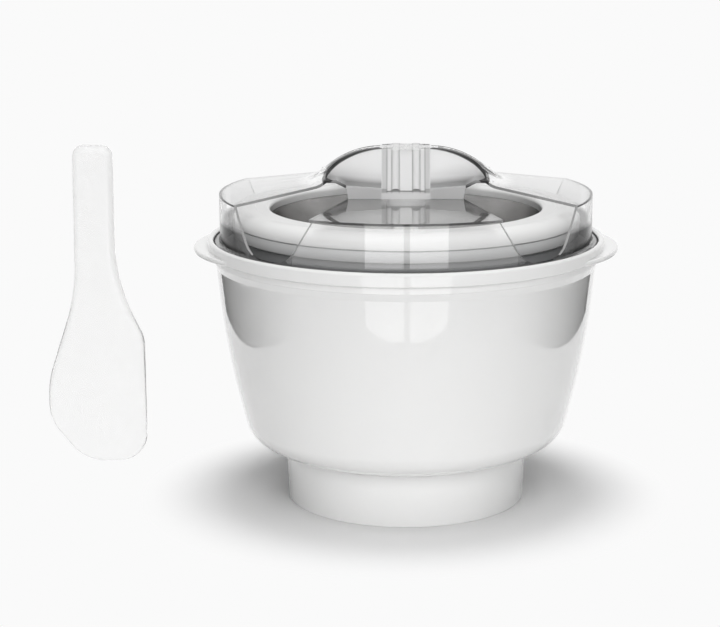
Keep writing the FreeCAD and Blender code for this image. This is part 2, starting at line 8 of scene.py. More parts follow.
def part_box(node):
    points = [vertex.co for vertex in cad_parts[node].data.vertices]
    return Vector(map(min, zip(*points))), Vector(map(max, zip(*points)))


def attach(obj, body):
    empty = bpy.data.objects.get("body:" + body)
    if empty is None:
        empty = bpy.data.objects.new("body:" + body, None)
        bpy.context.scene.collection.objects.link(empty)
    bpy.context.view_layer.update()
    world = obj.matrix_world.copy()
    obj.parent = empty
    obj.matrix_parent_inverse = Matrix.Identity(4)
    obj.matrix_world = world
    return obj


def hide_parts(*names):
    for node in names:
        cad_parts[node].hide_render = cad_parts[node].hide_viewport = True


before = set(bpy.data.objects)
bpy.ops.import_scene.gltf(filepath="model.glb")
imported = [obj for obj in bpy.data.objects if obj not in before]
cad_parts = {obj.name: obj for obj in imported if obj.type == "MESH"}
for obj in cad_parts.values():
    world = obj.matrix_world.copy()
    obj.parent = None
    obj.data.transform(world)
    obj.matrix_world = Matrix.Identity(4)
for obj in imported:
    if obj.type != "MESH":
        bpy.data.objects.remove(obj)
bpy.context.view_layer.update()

# Camera. The picture is taken straight on to the front with a long lens, from a little above the rim.
# The bowl stands right of the middle of a 720 by 627 frame, so the lens is shifted sideways.
camera_place = (0.0, -1.25068, 0.38933)
camera_dip = 12.559
camera_data = bpy.data.cameras.new("camera")
camera_data.lens = 107.28
camera_data.sensor_width = 36.0
camera_data.shift_x = -0.06375
camera_data.clip_start = 0.05
camera = bpy.data.objects.new("camera", camera_data)
camera.location = camera_place
camera.rotation_euler = (math.radians(90.0 - camera_dip), 0.0, 0.0)
bpy.context.scene.collection.objects.link(camera)
bpy.context.scene.camera = camera
bpy.context.scene.view_settings.view_transform = "Standard"


# Studio. A pale seamless table under a white sky, with a wide soft lamp overhead, a softbox in front, a
# weaker one behind and a narrow strip low in front of the foot. Two low dark flags and a pair of bright panes
# stand round the bowl, out of the picture, for its gloss to mirror.
class Signal:
    """A value that varies over a surface. Arithmetic on it adds Math nodes."""

    def __init__(self, nodes, socket):
        self.nodes = nodes
        self.socket = socket

    def __add__(self, other):
        return self.nodes.maths("ADD", self, other)

    def __radd__(self, other):
        return self.nodes.maths("ADD", other, self)

    def __sub__(self, other):
        return self.nodes.maths("SUBTRACT", self, other)

    def __rsub__(self, other):
        return self.nodes.maths("SUBTRACT", other, self)

    def __mul__(self, other):
        return self.nodes.maths("MULTIPLY", self, other)

    def __rmul__(self, other):
        return self.nodes.maths("MULTIPLY", other, self)


class Nodes:
    """A node tree. Every node in it is added by one method, with its settings first and then its sockets."""

    def __init__(self, tree):
        self.tree = tree
        tree.nodes.clear()

    def add(self, kind, settings, sockets, output=0):
        node = self.tree.nodes.new(kind)
        for name, value in settings.items():
            setattr(node, name, value)
        for name, value in sockets.items():
            if isinstance(value, Signal):
                self.tree.links.new(value.socket, node.inputs[name])
            else:
                node.inputs[name].default_value = value
        return Signal(self, node.outputs[output]) if node.outputs else None

    def maths(self, operation, first, second=0.0):
        return self.add("ShaderNodeMath", {"operation": operation}, {0: first, 1: second})

    def ramp(self, value, low, high, start=0.0, end=1.0, curve="LINEAR"):
        """A level that goes from start to end while a value goes from low to high."""
        levels = {"From Min": low, "From Max": high, "To Min": start, "To Max": end}
        return self.add("ShaderNodeMapRange", {"interpolation_type": curve}, {"Value": value, **levels})

    def place(self):
        return self.add("ShaderNodeTexCoord", {}, {}, "Object")

    def along(self, place, axis):
        """One coordinate of a place."""
        return self.add("ShaderNodeSeparateXYZ", {}, {0: place}, axis)

    def reach(self, place):
        """How far a place is from the bowl's axis."""
        flat = self.add("ShaderNodeVectorMath", {"operation": "MULTIPLY"}, {0: place, 1: (1.0, 1.0, 0.0)})
        return self.add("ShaderNodeVectorMath", {"operation": "LENGTH"}, {0: flat}, "Value")

    def ray(self, kind):
        return self.add("ShaderNodeLightPath", {}, {}, kind)

    def looks(self):
        """1 for rays that look at a thing, straight or in a mirror or through glass, and 0 for light."""
        looking = self.maths("MAXIMUM", self.ray("Is Camera Ray"), self.ray("Is Glossy Ray"))
        looking = self.maths("MAXIMUM", looking, self.ray("Is Transmission Ray"))
        return looking * (1.0 - self.maths("MINIMUM", self.ray("Diffuse Depth"), 1.0))


def new_material(name):
    """A material with no nodes yet, and the tree that takes them."""
    material = bpy.data.materials.new(name)
    material.use_nodes = True
    return material, Nodes(material.node_tree)


def soft_lamp(name, place, aim, width, depth, watts, beam=180.0):
    """A rectangular soft lamp that points at a spot."""
    lamp = bpy.data.lights.new(name, "AREA")
    lamp.shape = "RECTANGLE"
    lamp.size = width
    lamp.size_y = depth
    lamp.energy = watts
    lamp.spread = math.radians(beam)
    holder = bpy.data.objects.new(name, lamp)
    holder.location = place
    holder.rotation_euler = (Vector(aim) - Vector(place)).to_track_quat("-Z", "Y").to_euler()
    holder.visible_glossy = False
    holder.visible_transmission = False
    bpy.context.scene.collection.objects.link(holder)


def stage_sheet(name, material, middle, width, height, turning):
    """A flat sheet of the studio, drawn flat on the table, then turned and set in its place."""
    shape = bmesh.new()
    place = Matrix.Translation(middle) @ turning @ Matrix.Diagonal((width, height, 1.0, 1.0))
    bmesh.ops.create_grid(shape, x_segments=1, y_segments=1, size=0.5, matrix=place)
    mesh = bpy.data.meshes.new(name)
    shape.to_mesh(mesh)
    shape.free()
    mesh.materials.append(material)
    sheet = bpy.data.objects.new(name, mesh)
    bpy.context.scene.collection.objects.link(sheet)
    return sheet


def mirrored_only(sheet, through_clear=False):
    """Show a sheet in gloss, and through clear plastic if asked, but not in the picture or as a light."""
    sheet.visible_camera = False
    sheet.visible_diffuse = False
    sheet.visible_transmission = through_clear
    sheet.visible_shadow = False


white = (1.0, 1.0, 1.0, 1.0)
white_level = 0.956
sky_level = 0.045
world = bpy.data.worlds.new("studio")
world.use_nodes = True
bpy.context.scene.world = world
sky = Nodes(world.node_tree)
sky_glow = sky.add("ShaderNodeBackground", {}, {"Color": white, "Strength": sky_level})
sky_white = sky.add("ShaderNodeBackground", {}, {"Color": white, "Strength": white_level})
sky_mix = sky.add("ShaderNodeMixShader", {}, {0: sky.looks(), 1: sky_glow, 2: sky_white})
sky.add("ShaderNodeOutputWorld", {}, {"Surface": sky_mix})

table_middle = (0.0, 0.0, 0.0)
foot_middle = (0.0, 0.0, 0.02)
bowl_middle = (0.0, 0.0, 0.1)
soft_lamp("lamp_overhead", (0.0, -0.1, 1.2), table_middle, width=0.9, depth=0.9, watts=8.0)
soft_lamp("lamp_front", (0.1, -1.5, 0.8), bowl_middle, width=1.3, depth=0.8, watts=15.0)
soft_lamp("lamp_back", (0.4, 1.5, 0.9), bowl_middle, width=1.2, depth=0.8, watts=3.5)
soft_lamp("lamp_foot", (0.0, -0.7, 0.03), foot_middle, width=0.9, depth=0.05, watts=0.045, beam=24.0)

table_size = 6.0
table_shadow_reach = 0.095
table_white_reach = 0.16
table_grey = (0.94, 0.94, 0.94, 1.0)
table_material, paint = new_material("table_white")
table_reach = paint.reach(paint.place())
far_off = paint.ramp(table_reach, table_shadow_reach, table_white_reach, curve="SMOOTHSTEP")
table_lit = paint.add("ShaderNodeBsdfDiffuse", {}, {"Color": table_grey})
table_white = paint.add("ShaderNodeEmission", {}, {"Color": white, "Strength": white_level})
table_mix = paint.add("ShaderNodeMixShader", {}, {0: far_off * paint.looks(), 1: table_lit, 2: table_white})
paint.add("ShaderNodeOutputMaterial", {}, {"Surface": table_mix})
stage_sheet("table", table_material, Vector(table_middle), table_size, table_size, Matrix.Identity(4))

flag_aside = 0.32
flag_front = -0.25
flag_back = 0.355
flag_height = 0.058
flag_black_from = 0.08
flag_upright = Matrix.Rotation(math.pi / 2, 4, "Y")
flag_material, dye = new_material("flag_cloth")
flag_depth = dye.along(dye.place(), "Y")
flag_tone = dye.ramp(flag_depth, flag_front, flag_black_from, white_level, 0.0, "SMOOTHSTEP")
flag_glow = dye.add("ShaderNodeEmission", {}, {"Color": flag_tone, "Strength": 1.0})
dye.add("ShaderNodeOutputMaterial", {}, {"Surface": flag_glow})
for name, side in (("flag_left", -1.0), ("flag_right", 1.0)):
    flag_middle = Vector((side * flag_aside, (flag_front + flag_back) / 2, flag_height / 2))
    flag = stage_sheet(name, flag_material, flag_middle, flag_height, flag_back - flag_front, flag_upright)
    mirrored_only(flag)

pane_front = -0.355
pane_aside = 0.0745
pane_shift = 0.003
pane_width = 0.13
pane_height = 0.15
pane_glow = 2.0
pane_upright = Matrix.Rotation(math.pi / 2, 4, "X")
pane_material, glow = new_material("pane_light")
pane_shine = glow.add("ShaderNodeEmission", {}, {"Color": white, "Strength": pane_glow})
glow.add("ShaderNodeOutputMaterial", {}, {"Surface": pane_shine})
for name, side in (("pane_left", -1.0), ("pane_right", 1.0)):
    pane_middle = Vector((side * pane_aside + pane_shift, pane_front, pane_height / 2))
    pane = stage_sheet(name, pane_material, pane_middle, pane_width, pane_height, pane_upright)
    mirrored_only(pane, through_clear=True)

# Outer bowl. One injection moulding in glossy white plastic: a round foot that sits over the mixer's
# turntable, a tall wall that flares out under a stepped rim, a ledge for the lid, two thin lifting ears, and
# a seat ring and drive ribs on its floor.
mm = 0.001


def corners(node):
    """The lowest and the highest corner of a CAD node, in millimetres."""
    return [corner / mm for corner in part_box(node)]


def mixed_colour(nodes, share, first, second):
    """A colour between two others."""
    return nodes.add("ShaderNodeMix", {"data_type": "RGBA"}, {0: share, 6: first, 7: second}, 2)


def moulded_plastic(name, colour, gloss, grain, polish=0.0, painted_fade=None):
    """Solid moulded plastic: faint flow marks in its colour and gloss, and a fine mould grain.

    The painted fade, where given, is a low and a high level and the share of the colour left at the low one:
    painted shade that darkens the colour downwards between them.
    """
    material, nodes = new_material(name)
    place = nodes.place()
    flow = nodes.add("ShaderNodeTexNoise", {}, {"Vector": place, "Scale": 16.0, "Detail": 2.0})
    pores = nodes.add("ShaderNodeTexNoise", {}, {"Vector": place, "Scale": 1500.0, "Detail": 1.0})
    flow_colour = tuple(0.975 * channel for channel in colour)
    tint = mixed_colour(nodes, flow, (*flow_colour, 1.0), (*colour, 1.0))
    if painted_fade:
        # Painted shade: darker towards the low level.
        low, high, left = painted_fade
        share = nodes.ramp(nodes.along(place, "Z"), low, high, left)
        tint = mixed_colour(nodes, share, (0.0, 0.0, 0.0, 1.0), tint)
    relief = nodes.add("ShaderNodeBump", {}, {"Strength": grain, "Distance": 0.05 * mm, "Height": pores})
    surface = nodes.add(
        "ShaderNodeBsdfPrincipled",
        {},
        {
            "Base Color": tint, "Roughness": gloss + 0.04 * (flow - 0.5), "Normal": relief, "IOR": 1.5,
            "Coat Weight": polish, "Coat Roughness": 0.02,
        },
    )
    nodes.add("ShaderNodeOutputMaterial", {}, {"Surface": surface})
    return material


def round_corner(shape, point, softness, steps=6):
    """Round a corner of an outline with an arc that starts and ends that far from it, in millimetres."""
    bmesh.ops.bevel(
        shape, geom=[point], offset=softness * mm, offset_type="OFFSET", affect="VERTICES", segments=steps,
        profile=0.5, material=-1, clamp_overlap=False,
    )


def turn(shape, outline, closed=False):
    """Spin an outline round the bowl's axis. Its points are (radius, height) in millimetres.

    A rounded corner has its softness as well, and the steps of its arc where they aren't the usual ones.
    """
    before = set(shape.verts)
    points = [shape.verts.new((radius * mm, 0.0, height * mm)) for radius, height, *_ in outline]
    for first, second in zip(points, points[1:]):
        shape.edges.new((first, second))
    if closed:
        shape.edges.new((points[-1], points[0]))
    for point, (_, _, *rounding) in zip(points, outline):
        if rounding:
            round_corner(shape, point, *rounding)
    chain = [vert for vert in shape.verts if vert not in before]
    links = [edge for edge in shape.edges if edge.verts[0] not in before]
    bmesh.ops.spin(
        shape, geom=chain + links, cent=(0, 0, 0), axis=(0, 0, 1), angle=math.tau, steps=160,
        use_merge=True, use_duplicate=False,
    )


def block(shape, swing, middle, size):
    """A moulded block with its middle and its size in millimetres, swung round the bowl's axis."""
    scale = Matrix.Diagonal((*(Vector(size) * mm), 1.0))
    bmesh.ops.create_cube(shape, size=1.0, matrix=swing @ Matrix.Translation(Vector(middle) * mm) @ scale)


def arc(shape, middle, radius, height, half_angle, steps):
    """An arc of edges on the right of a middle point, spun from one vertex, in metres."""
    start = Matrix.Rotation(-half_angle, 4, "Z") @ Vector((radius, 0, 0)) + Vector((middle, 0, height))
    before = set(shape.edges)
    tip = shape.verts.new(start)
    bmesh.ops.spin(
        shape, geom=[tip], cent=(middle, 0, height), axis=(0, 0, 1), angle=2 * half_angle, steps=steps,
        use_merge=False, use_duplicate=False,
    )
    return [edge for edge in shape.edges if edge not in before]


def finish_piece(shape, name, materials, body, node, sharp=32.0):
    """Close the mesh, shade it smooth between its real edges, and set it on its body in place of its node."""
    bmesh.ops.remove_doubles(shape, verts=shape.verts, dist=0.002 * mm)
    bmesh.ops.recalc_face_normals(shape, faces=shape.faces)
    mesh = bpy.data.meshes.new(name)
    shape.to_mesh(mesh)
    shape.free()
    mesh.shade_smooth()
    mesh.set_sharp_from_angle(angle=math.radians(sharp))
    for material in materials:
        mesh.materials.append(material)
    piece = bpy.data.objects.new(name, mesh)
    bpy.context.scene.collection.objects.link(piece)
    weigh = piece.modifiers.new("even_shading", "WEIGHTED_NORMAL")
    weigh.keep_sharp = True
    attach(piece, body)
    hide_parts(node)
    return piece


bowl_white = moulded_plastic("bowl_white", (0.86, 0.86, 0.855), gloss=0.06, grain=0.02, polish=1.0)
# The ledge's mid grey is painted shade, for the dark gap where the lid's flange sits.
ledge_painted_shade = moulded_plastic("ledge_painted_shade", (0.3, 0.3, 0.3), gloss=0.4, grain=0.1)
ear_tip, rim_radius, rim_top = corners("outer_bowl")[1]
rim_under = 150.5
rim_inside = 113.5
step_radius = 114.1
ledge_level = 154.0
socket_radius = 67.5
socket_top = 20.0
floor_radius = 64.5
floor_under = 31.0
floor_top = 34.0
bowl_foot = [
    (0.0, floor_under), (floor_radius, floor_under), (floor_radius, socket_top),
    (socket_radius, socket_top, 0.6), (socket_radius, 0.0, 0.6), (71.0, 0.0, 0.8), (72.2, floor_under, 0.5),
]
bowl_wall = [(93.75, 38.6, 9.2, 12), (107.0, 92.5, 26.9, 12)]
bowl_flare = [(112.27, 141.9), (112.36, 142.2), (113.9, 146.3), (step_radius, 146.4)]
bowl_rim = [
    (step_radius, rim_under, 0.4), (rim_radius, rim_under, 0.9), (rim_radius, rim_top, 1.8),
    (rim_inside, rim_top, 1.8), (rim_inside, ledge_level, 0.3), (109.77, ledge_level, 0.4),
]
bowl_inside = [
    (104.04, 93.0, 26.0, 12), (91.2, 40.9, 7.5, 12), (floor_radius, floor_top, 2.2), (0.0, floor_top),
]
bowl = bmesh.new()
turn(bowl, bowl_foot + bowl_wall + bowl_flare + bowl_rim + bowl_inside)

seat_radius = 62.0
seat_inside = 58.0
seat_root = 32.5
seat_top = 46.0
seat_ring = [(seat_inside, seat_root), (seat_radius, seat_root), (seat_radius, seat_top, 0.5)]
turn(bowl, seat_ring + [(seat_inside, seat_top, 0.5)], closed=True)

drive_reach = 44.0
rib_aside = 9.0
rib_level = 39.0
rib_size = (12.0, 3.0, 13.0)
boss_place = (27.0, 0.0, 29.75)
boss_radius = 5.0 * mm
boss_height = 3.5 * mm
thirds = [Matrix.Rotation(math.tau * third / 3, 4, "Z") for third in range(3)]
for swing in thirds:
    for side in (-rib_aside, rib_aside):
        block(bowl, swing, (drive_reach, side, rib_level), rib_size)
    bmesh.ops.create_cone(
        bowl, cap_ends=True, segments=32, radius1=boss_radius, radius2=boss_radius, depth=boss_height,
        matrix=swing @ Matrix.Translation(Vector(boss_place) * mm),
    )

ear_middle = 41.6 * mm
ear_radius = ear_tip * mm - ear_middle
ear_half_angle = math.radians(44.4)
ear_root_radius = 115.4 * mm
ear_root_half_angle = math.radians(30.3)
ear_clear_radius = 116.0 * mm
ear_base = rim_under * mm
ear_thick = 3.0 * mm
ear_rounding = 1.2 * mm
ear_steps = 48
near = 0.1 * mm


def on_ear_edge(vert):
    """Whether a point lies on the free edge of the right ear, clear of the rim."""
    spot = vert.co.xy
    return spot.length > ear_clear_radius and (spot - Vector((ear_middle, 0.0))).length > ear_radius - near


for half_turn in (0.0, math.pi):
    others = set(bowl.verts)
    outer_arc = arc(bowl, ear_middle, ear_radius, ear_base, ear_half_angle, ear_steps)
    inner_arc = arc(bowl, 0.0, ear_root_radius, ear_base, ear_root_half_angle, ear_steps)
    tab = bmesh.ops.bridge_loops(bowl, edges=outer_arc + inner_arc)["faces"]
    raised = bmesh.ops.extrude_face_region(bowl, geom=tab)["geom"]
    lifted = [part for part in raised if isinstance(part, bmesh.types.BMVert)]
    bmesh.ops.translate(bowl, verts=lifted, vec=(0, 0, ear_thick))
    free_edges = [
        edge for edge in bowl.edges
        if edge.verts[0] not in others and all(on_ear_edge(vert) for vert in edge.verts)
        and abs(edge.verts[0].co.z - edge.verts[1].co.z) < near
    ]
    bmesh.ops.bevel(
        bowl, geom=free_edges, offset=ear_rounding, offset_type="OFFSET", affect="EDGES", segments=4,
        profile=0.5, material=-1, clamp_overlap=True,
    )
    ear = [vert for vert in bowl.verts if vert not in others]
    bmesh.ops.rotate(bowl, verts=ear, cent=(0, 0, 0), matrix=Matrix.Rotation(half_turn, 3, "Z"))

# Painted shade: the ledge and the inner face of the rim above it take the grey material.
ledge_from, ledge_to = 109.6, 113.6
ledge_low, ledge_high = 153.8, 157.0
for face in bowl.faces:
    middle = face.calc_center_median() / mm
    face.material_index = int(ledge_from < middle.xy.length < ledge_to and ledge_low < middle.z < ledge_high)
finish_piece(bowl, "outer_bowl_moulding", (bowl_white, ledge_painted_shade), "outer_bowl", "outer_bowl")


# Drive hub and its screws. A moulded grey nylon socket for the mixer's spindle, and the three steel screws
# that hold it up against the bowl's floor. They show only from below.
def dress(node, material):
    """Give a CAD node its own finish."""
    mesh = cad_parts[node].data
    mesh.materials.clear()
    mesh.materials.append(material)


def turned_metal(name, colour, gloss, scratch):
    """Metal cut or spun on a lathe: fine rings round the bowl's axis in its gloss and relief."""
    material, nodes = new_material(name)
    place = nodes.place()
    rings_per_metre = 2600.0
    across = rings_per_metre * nodes.reach(place)
    upwards = rings_per_metre * nodes.along(place, "Z")
    lathe = nodes.add("ShaderNodeCombineXYZ", {}, {0: across, 1: upwards})
    rings = nodes.add("ShaderNodeTexNoise", {}, {"Vector": lathe, "Scale": 1.0, "Detail": 2.0})
    cloud = nodes.add("ShaderNodeTexNoise", {}, {"Vector": place, "Scale": 22.0, "Detail": 2.0})
    cloud_colour = tuple(0.9 * channel for channel in colour)
    tint = mixed_colour(nodes, cloud, (*cloud_colour, 1.0), (*colour, 1.0))
    relief = nodes.add("ShaderNodeBump", {}, {"Strength": scratch, "Distance": 0.03 * mm, "Height": rings})
    surface = nodes.add(
        "ShaderNodeBsdfPrincipled",
        {},
        {"Base Color": tint, "Metallic": 1.0, "Roughness": gloss + 0.12 * (rings - 0.5), "Normal": relief},
    )
    nodes.add("ShaderNodeOutputMaterial", {}, {"Surface": surface})
    return material


dress("drive_hub", moulded_plastic("hub_grey", (0.13, 0.135, 0.14), gloss=0.45, grain=0.25))
dress("drive_hub_screws", turned_metal("screw_steel", (0.55, 0.55, 0.55), gloss=0.3, scratch=0.1))

# Freeze bowl shell. The outer wall of the double-walled bowl, moulded in satin plastic, with a wider band at
# the top that the collar is welded to. Driving lugs stand under its base. Its greys are painted shade of the
# deep gap
# round it: the band is mid grey and darker towards its bottom, and the wall below and the seam groove are
# dark grey.
shell_low, shell_high = corners("freeze_bowl_shell")
band_radius = shell_high.x
band_inside = 96.85
band_low = 161.0
weld_gap = 0.1
band_top = shell_high.z - weld_gap
shell_floor = 48.6
shell_outside = [(0.0, seat_top), (80.45, seat_top, 10.8, 10), (93.7, 92.5, 8.0, 8), (99.45, band_low, 0.4)]
shell_band = [(band_radius, band_low, 0.7), (band_radius, band_top, 0.6), (band_inside, band_top)]
shell_inside = [
    (band_inside, band_low), (91.1, 92.8, 8.0, 8), (78.2, shell_floor, 8.5, 10), (0.0, shell_floor),
]
shell = bmesh.new()
turn(shell, shell_outside + shell_band + shell_inside)

lug_size = (12.0, 14.0, 8.4)
lug_level = shell_low.z + lug_size[2] / 2
for swing in thirds:
    block(shell, swing, (drive_reach, 0.0, lug_level), lug_size)

# Painted shade: the band's grey darkens towards its bottom.
band_painted_fade = (band_low * mm, 166.0 * mm, 0.6)
shell_band_painted_shade = moulded_plastic("shell_band_painted_shade", (0.6, 0.605, 0.605), gloss=0.25, grain=0.08, painted_fade=band_painted_fade)
shell_painted_shade = moulded_plastic("shell_painted_shade", (0.31, 0.315, 0.32), gloss=0.3, grain=0.1)
# Faces below the band and in the thin seam groove at its top get the dark grey of painted shade.
grey_low, grey_high = 160.5, 167.55
for face in shell.faces:
    level = face.calc_center_median().z / mm
    face.material_index = int(level < grey_low or level > grey_high)
finish_piece(shell, "freeze_bowl_wall", (shell_band_painted_shade, shell_painted_shade), "freeze_bowl", "freeze_bowl_shell")

# Filling, seals and plug. Frosty coolant between the two walls, pale silicone rings under the collar and a
# silicone plug in the base. They are closed in and show only where the bowl is taken apart.
coolant_ice = moulded_plastic("coolant_ice", (0.62, 0.75, 0.82), gloss=0.4, grain=0.3)
seal_grey = moulded_plastic("seal_grey", (0.55, 0.56, 0.56), gloss=0.6, grain=0.2)
dress("coolant_gel", coolant_ice)
for node in ("liner_seal", "shell_seal", "filler_plug"):
    dress(node, seal_grey)

# Freeze bowl liner. Spun from aluminium sheet and polished, with fine rings from the lathe, a rounded corner
# at the floor and a flange that is clamped under the collar.
liner_metal = turned_metal("liner_metal", (0.72, 0.715, 0.71), gloss=0.16, scratch=0.12)
liner_low, liner_high = corners("freeze_bowl_liner")
liner_sheet = 1.5
liner_under = liner_low.z
liner_floor = liner_under + liner_sheet
flange_radius = liner_high.x
flange_top = liner_high.z
flange_under = flange_top - liner_sheet
liner_inside = [(0.0, liner_floor), (72.0, liner_floor, 16.2, 12), (83.0, flange_top, 0.5)]
liner_flange = [(flange_radius, flange_top), (flange_radius, flange_under)]
liner_outside = [(84.4, flange_under), (73.4, liner_under, 17.6, 12), (0.0, liner_under)]
liner = bmesh.new()
turn(liner, liner_inside + liner_flange + liner_outside)
finish_piece(liner, "freeze_bowl_liner_spun", (liner_metal,), "freeze_bowl", "freeze_bowl_liner")

# Freeze bowl collar. A satin white moulded ring with a large outer radius, a shallow land round its mouth and
# a lip that hangs into the liner. It is welded to the shell and holds the liner down.
collar_low, collar_high = corners("freeze_bowl_collar")
collar_radius = collar_high.x
collar_under = collar_low.z
collar_top = collar_high.z
land_depth = 0.5
land_level = collar_top - land_depth
lip_radius = 80.0
lip_inside = 82.4
lip_under = 170.7
collar_outside = [
    (band_inside, collar_under), (collar_radius, collar_under, 0.4), (collar_radius, collar_top, 8.2, 12),
]
collar_land = [(89.0, collar_top, 0.3), (88.5, land_level, 0.3), (lip_radius, land_level, 2.6, 8)]
collar_lip = [(lip_radius, lip_under, 0.6), (lip_inside, lip_under, 0.6), (lip_inside, flange_top)]
# Painted shade: the collar darkens towards its bottom, over the gap below it.
collar_painted_fade = (collar_under * mm, 175.5 * mm, 0.8)
collar_white_painted_shade = moulded_plastic("collar_white_painted_shade", (0.86, 0.86, 0.855), gloss=0.2, grain=0.05, painted_fade=collar_painted_fade)
collar = bmesh.new()
turn(collar, collar_outside + collar_land + collar_lip + [(band_inside, flange_top)], closed=True)
finish_piece(collar, "freeze_bowl_ring", (collar_white_painted_shade,), "freeze_bowl", "freeze_bowl_collar")

# Pivot. A turned steel stud that is fixed to the liner's floor carries a white acetal bush.
# The dasher drops over the bush, and the two turn together.
acetal = moulded_plastic("acetal_white", (0.8, 0.8, 0.79), gloss=0.35, grain=0.1)
dress("pivot_pin", turned_metal("pin_steel", (0.6, 0.6, 0.6), gloss=0.25, scratch=0.1))
dress("pivot_bush", acetal)


# Dasher. A white acetal frame with two windows and slanted scraping blades, and the square shaft that is
# pressed into its post and rises into the lid.
def merged(node):
    """A copy of a CAD node's mesh with its triangles joined up and its flat faces made whole."""
    shape = bmesh.new()
    shape.from_mesh(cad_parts[node].data)
    bmesh.ops.remove_doubles(shape, verts=shape.verts, dist=0.005 * mm)
    bmesh.ops.dissolve_limit(shape, angle_limit=math.radians(0.6), verts=shape.verts, edges=shape.edges)
    return shape


def round_edges(piece, width, limit="ANGLE", slot=-1):
    """Round the real edges of a piece, or those with a weight, before its shading is evened out."""
    rounding = piece.modifiers.new("edge_rounding", "BEVEL")
    rounding.width = width
    rounding.segments = 2
    rounding.limit_method = limit
    rounding.angle_limit = math.radians(35.0)
    rounding.material = slot
    piece.modifiers.move(1, 0)


dasher_frame = finish_piece(merged("dasher_paddle"), "dasher_frame", (acetal,), "dasher", "dasher_paddle")
round_edges(dasher_frame, 0.4 * mm)
dasher_square = finish_piece(merged("dasher_shaft"), "dasher_square", (acetal,), "dasher", "dasher_shaft")
round_edges(dasher_square, 0.3 * mm)


# Lid. Clear glossy plastic moulded in one piece: a notched crown wall on a flange, two lobes that rise to the
# arched handle, two flat arms, and finger coves with a ribbed strip down the middle. Its edges and narrow cut
# faces are painted dark, standing in for the light caught in the sheet there, and its flange is painted grey,
# as shade of the dark gap that it sits in.
def clear_plastic(name, tone, gloss, bend, clearness=1.0):
    """Clear plastic that lets lamp light through, with faint smears where it isn't polished.

    The tone is a function that gives its colour and its coat.
    """
    material, nodes = new_material(name)
    place = nodes.place()
    colour, coat = tone(nodes, place)
    roughness = 0.0
    if gloss:
        smear = nodes.add("ShaderNodeTexNoise", {}, {"Vector": place, "Scale": 30.0, "Detail": 3.0})
        roughness = gloss * (0.9 + 0.2 * smear)
    surface = nodes.add(
        "ShaderNodeBsdfPrincipled",
        {},
        {
            "Base Color": colour, "Roughness": roughness, "IOR": bend, "Transmission Weight": clearness,
            "Coat Weight": coat, "Coat IOR": 1.8, "Coat Roughness": 0.0,
        },
    )
    open_to_lamps = nodes.add("ShaderNodeBsdfTransparent", {}, {"Color": (0.99, 0.99, 0.99, 1.0)})
    shadow_ray = nodes.ray("Is Shadow Ray")
    mixed = nodes.add("ShaderNodeMixShader", {}, {0: shadow_ray, 1: surface, 2: open_to_lamps})
    nodes.add("ShaderNodeOutputMaterial", {}, {"Surface": mixed})
    return material


def between(nodes, value, low, high, soft):
    """1 where a value lies between two limits, with soft ends. All are in millimetres but the value."""
    above = nodes.ramp(value, (low - soft) * mm, (low + soft) * mm)
    below = nodes.ramp(value, (high - soft) * mm, (high + soft) * mm)
    return above * (1.0 - below)


def grey_mix(nodes, share, light, dark):
    """A grey between a light and a dark one."""
    return mixed_colour(nodes, share, (light, light, light, 1.0), (dark, dark, dark, 1.0))


table_level = 0.0
root_top = 170.5
arm_top = 187.0
dome_edge = 55.0 * mm
crown_start = 65.0 * mm
flat_sheet_grey = 0.27
root_painted_shade = 0.9
flat_sheet_dulls = 0.45
lean_dulls = 0.65


def sheet_tone(nodes, place):
    """Clear in the dome and greyer in the level sheets.

    The crown wall is painted dark where it turns edge-on, standing in for the light caught in the sheet
    there, and painted dark low down at its root, as painted shade of the gap behind it.
    """
    normal = nodes.add("ShaderNodeNewGeometry", {}, {}, "Normal")
    facing = nodes.add("ShaderNodeLayerWeight", {}, {"Blend": 0.5}, "Facing")
    height = nodes.along(place, "Z")
    crown = nodes.ramp(nodes.reach(place), dome_edge, crown_start)
    low = between(nodes, height, table_level, arm_top, 1.0)
    root = between(nodes, height, table_level, root_top, 1.5)
    flat = nodes.ramp(nodes.maths("ABSOLUTE", nodes.along(normal, "Z")), 0.6, 0.9)
    upright = 1.0 - flat
    flat_sheet_greyed = flat * nodes.maths("MAXIMUM", crown, low)
    sideways = upright * nodes.ramp(facing, 0.3, 0.6)
    leaning = upright * nodes.ramp(facing, 0.4, 0.7)
    edge_on = upright * nodes.ramp(facing, 0.8, 0.95)
    # Painted dark: the crown wall where it turns edge-on, and low at its root as painted shade of the gap
    # behind it.
    dark = crown * nodes.maths("MAXIMUM", edge_on, root_painted_shade * root * sideways)
    shade = nodes.maths("MAXIMUM", flat_sheet_grey * flat_sheet_greyed, dark)
    dull = nodes.maths("MAXIMUM", dark, lean_dulls * leaning + flat_sheet_dulls * flat_sheet_greyed)
    return grey_mix(nodes, shade, light=0.985, dark=0.1), 1.0 - dull


def plain_tone(grey, coat=0.0):
    """One grey all over."""
    return lambda nodes, place: ((grey, grey, grey, 1.0), coat)


dome_bend = 50.0 * mm
dome_bend_reach = 14.57 * mm
dome_bend_level = 161.16 * mm
rim_thick = 2.4 * mm
rim_from, rim_to = 5.0 * mm, 44.0 * mm
rim_soft = 0.3 * mm
cove_floor = 188.5 * mm
cove_bright = 203.5 * mm
cove_sweep = 2.2
cove_dark = 0.95
cove_end = 60.0
cove_front = 26.2
cove_soft = 0.2
post_half = 14.2
post_low, post_high = 188.0, 300.0
far_below = -100.0
post_rib_lines_and_grey = [
    (3.4, 4.2, 0.3, 0.25), (7.8, 8.6, 0.3, 0.25), (10.6, 11.4, 0.3, 0.3), (11.2, 13.8, 0.4, 0.2),
    (far_below, post_half, cove_soft, 0.2),
]


